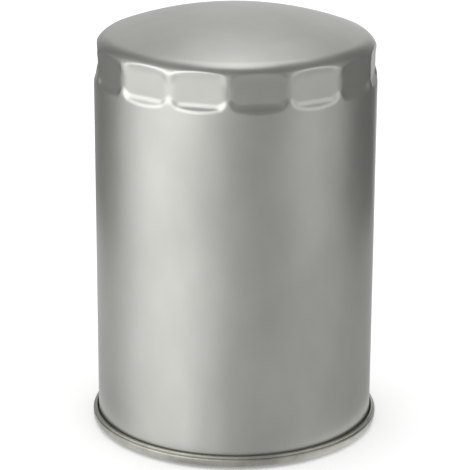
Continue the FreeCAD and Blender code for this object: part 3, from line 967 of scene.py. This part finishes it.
class OILFILTER_OT_stage(bpy.types.Operator):
    """Sets the pale floor, the soft studio lights and the camera"""

    bl_idname = "oilfilter.stage"
    bl_label = "Studio"

    def execute(self, context):
        settings = context.scene.filter_stage
        self.floor()
        self.world()
        self.tent(settings)
        self.camera(settings)
        context.scene.view_settings.view_transform = "Standard"
        return {"FINISHED"}

    def floor(self):
        mesh = bmesh.new()
        bmesh.ops.create_circle(mesh, cap_ends=True, segments=96, radius=4.0)
        ground = finish_mesh("studio_floor", mesh)
        pale = Finish("pale_floor", (0.92, 0.92, 0.92), 0.0, 0.9, 0.0)
        pale.shader.inputs["Emission Color"].default_value = (1.0, 1.0, 1.0, 1.0)
        pale.shader.inputs["Emission Strength"].default_value = 0.2
        ground.data.materials.append(pale.material)

    def world(self):
        """Even light from all round, stronger overhead."""
        world = bpy.data.worlds.new("studio")
        world.use_nodes = True
        bpy.context.scene.world = world
        tree = world.node_tree
        backdrop = tree.nodes["Background"]
        backdrop.inputs["Color"].default_value = (1.0, 1.0, 1.0, 1.0)
        coordinates = tree.nodes.new("ShaderNodeTexCoord")
        parts = tree.nodes.new("ShaderNodeSeparateXYZ")
        overhead = tree.nodes.new("ShaderNodeMapRange")
        overhead.interpolation_type = "SMOOTHSTEP"
        overhead.inputs["From Min"].default_value = 0.8
        overhead.inputs["From Max"].default_value = 0.97
        overhead.inputs["To Min"].default_value = 0.85
        overhead.inputs["To Max"].default_value = 1.9
        tree.links.new(coordinates.outputs["Generated"], parts.inputs["Vector"])
        tree.links.new(parts.outputs["Z"], overhead.inputs["Value"])
        tree.links.new(overhead.outputs["Result"], backdrop.inputs["Strength"])

    def tent(self, settings):
        """A light tent of soft panels and dark edge boards that shows only in reflections."""
        columns = 180
        floor_rows = 24
        wall_rows = 46
        rows = []
        for k in range(floor_rows):
            reach = (TENT_RADIUS - TENT_HOLE) * (k / floor_rows) ** 1.5
            rows.append((TENT_HOLE + reach, TENT_FLOOR))
        for k in range(wall_rows + 1):
            rows.append((TENT_RADIUS, TENT_FLOOR + TENT_HEIGHT * k / wall_rows))
        mesh = bmesh.new()
        glow = mesh.verts.layers.float.new("glow")
        rings = []
        for r, z in rows:
            ring = []
            for column in range(columns):
                around = 360.0 * column / columns - 180.0
                theta = radians(around - 90.0) + settings.camera_azimuth
                corner = mesh.verts.new((r * cos(theta), r * sin(theta), z))
                corner[glow] = self.panel_glow(around, r, z)
                ring.append(corner)
            rings.append(ring)
        for lower, upper in zip(rings, rings[1:]):
            for column in range(columns):
                after = (column + 1) % columns
                mesh.faces.new((lower[column], lower[after], upper[after], upper[column]))
        tent = finish_mesh("light_tent", mesh)
        cloth = bpy.data.materials.new("tent_glow")
        cloth.use_nodes = True
        tree = cloth.node_tree
        tree.nodes.clear()
        level = tree.nodes.new("ShaderNodeAttribute")
        level.attribute_name = "glow"
        emission = tree.nodes.new("ShaderNodeEmission")
        output = tree.nodes.new("ShaderNodeOutputMaterial")
        tree.links.new(level.outputs["Fac"], emission.inputs["Strength"])
        tree.links.new(emission.outputs["Emission"], output.inputs["Surface"])
        tent.data.materials.append(cloth)
        tent.visible_camera = False
        tent.visible_diffuse = False
        tent.visible_shadow = False
        tent.visible_transmission = False

    def panel_glow(self, around, radius, height):
        """How bright the tent is at an angle from the camera, positive to its right."""
        if height <= TENT_FLOOR:
            in_line = self.seen_around(around, radius)
            if radius < FOOT_RADIUS:
                return level_at(in_line, FOOT_GLOW)
            near = level_at(in_line, FLOOR_GLOW) * blend(0.93, 1.0, (radius - 0.05) / 0.08)
            return blend(near, level_at(in_line, LOW_GLOW), (radius - 0.2) / 0.09)
        low = level_at(around, LOW_GLOW)
        middle = level_at(around, MIDDLE_GLOW)
        high = level_at(around, HIGH_GLOW)
        if height < 0.17:
            return blend(low, middle, (height - 0.07) / 0.1)
        if height < 0.39:
            return blend(middle, high, (height - 0.27) / 0.12)
        return blend(high, level_at(around, TOP_GLOW), (height - 0.39) / 0.36)

    def seen_around(self, around, radius):
        """The angle of the tent's wall that the shell mirrors in line with this floor point,
        so that bright and dark stripes run straight down the shell."""
        shell = bpy.context.scene.filter_shell.can_radius
        low, high = -90.0, 90.0
        for _ in range(24):
            middle = (low + high) / 2.0
            if self.mirrored(middle, shell / radius) < around:
                low = middle
            else:
                high = middle
        return self.mirrored(middle, shell / TENT_RADIUS)

    def mirrored(self, facing, ratio):
        """Where a spot of the shell facing that way shows its surroundings, at a distance
        given by the ratio of the shell's radius to it."""
        return 2.0 * facing - degrees(asin(ratio * sin(radians(facing))))

    def camera(self, settings):
        lens = bpy.data.cameras.new("camera")
        camera = bpy.data.objects.new("camera", lens)
        bpy.context.scene.collection.objects.link(camera)
        level = cos(settings.camera_elevation)
        back = Vector(
            (
                sin(settings.camera_azimuth) * level,
                -cos(settings.camera_azimuth) * level,
                sin(settings.camera_elevation),
            )
        )
        target = Vector((0.0, 0.0, settings.camera_height))
        camera.location = target + back * settings.camera_distance
        aim(camera, target, settings.camera_roll)
        lens.sensor_fit = "HORIZONTAL"
        lens.lens = lens.sensor_width * settings.camera_distance / settings.field_width
        lens.clip_start = 0.01
        lens.clip_end = 50.0
        bpy.context.scene.camera = camera


# ---------------------------------------------------------------- add-on


BUILD_ORDER = (
    OILFILTER_OT_canister,
    OILFILTER_OT_lid,
    OILFILTER_OT_gasket,
    OILFILTER_OT_base_plate,
    OILFILTER_OT_drainback_valve,
    OILFILTER_OT_element,
    OILFILTER_OT_bypass,
    OILFILTER_OT_stage,
)

SETTINGS = (
    ("filter_shell", FilterShellSizes),
    ("filter_base", FilterBaseSizes),
    ("filter_valve", FilterValveSizes),
    ("filter_finishes", FilterFinishes),
    ("filter_stage", FilterStage),
)


class OILFILTER_PT_panel(bpy.types.Panel):
    """Lists the filter's sizes, finishes and building steps"""

    bl_label = "Oil Filter"
    bl_idname = "OILFILTER_PT_panel"
    bl_space_type = "VIEW_3D"
    bl_region_type = "UI"
    bl_category = "Oil Filter"

    def draw(self, context):
        layout = self.layout
        for operator in BUILD_ORDER:
            layout.operator(operator.bl_idname)
        for attribute, group in SETTINGS:
            box = layout.box()
            box.label(text=attribute.replace("_", " ").title())
            for prop in group.__annotations__:
                box.prop(getattr(context.scene, attribute), prop)


def register():
    for attribute, group in SETTINGS:
        bpy.utils.register_class(group)
        setattr(bpy.types.Scene, attribute, bpy.props.PointerProperty(type=group))
    for operator in BUILD_ORDER:
        bpy.utils.register_class(operator)
    bpy.utils.register_class(OILFILTER_PT_panel)


def unregister():
    bpy.utils.unregister_class(OILFILTER_PT_panel)
    for operator in reversed(BUILD_ORDER):
        bpy.utils.unregister_class(operator)
    for attribute, group in reversed(SETTINGS):
        delattr(bpy.types.Scene, attribute)
        bpy.utils.unregister_class(group)


def main():
    register()
    bpy.ops.oilfilter.canister()
    bpy.ops.oilfilter.lid()
    bpy.ops.oilfilter.gasket()
    bpy.ops.oilfilter.base_plate()
    bpy.ops.oilfilter.drainback_valve()
    bpy.ops.oilfilter.element()
    bpy.ops.oilfilter.bypass()
    bpy.ops.oilfilter.stage()


if __name__ == "__main__":
    main()
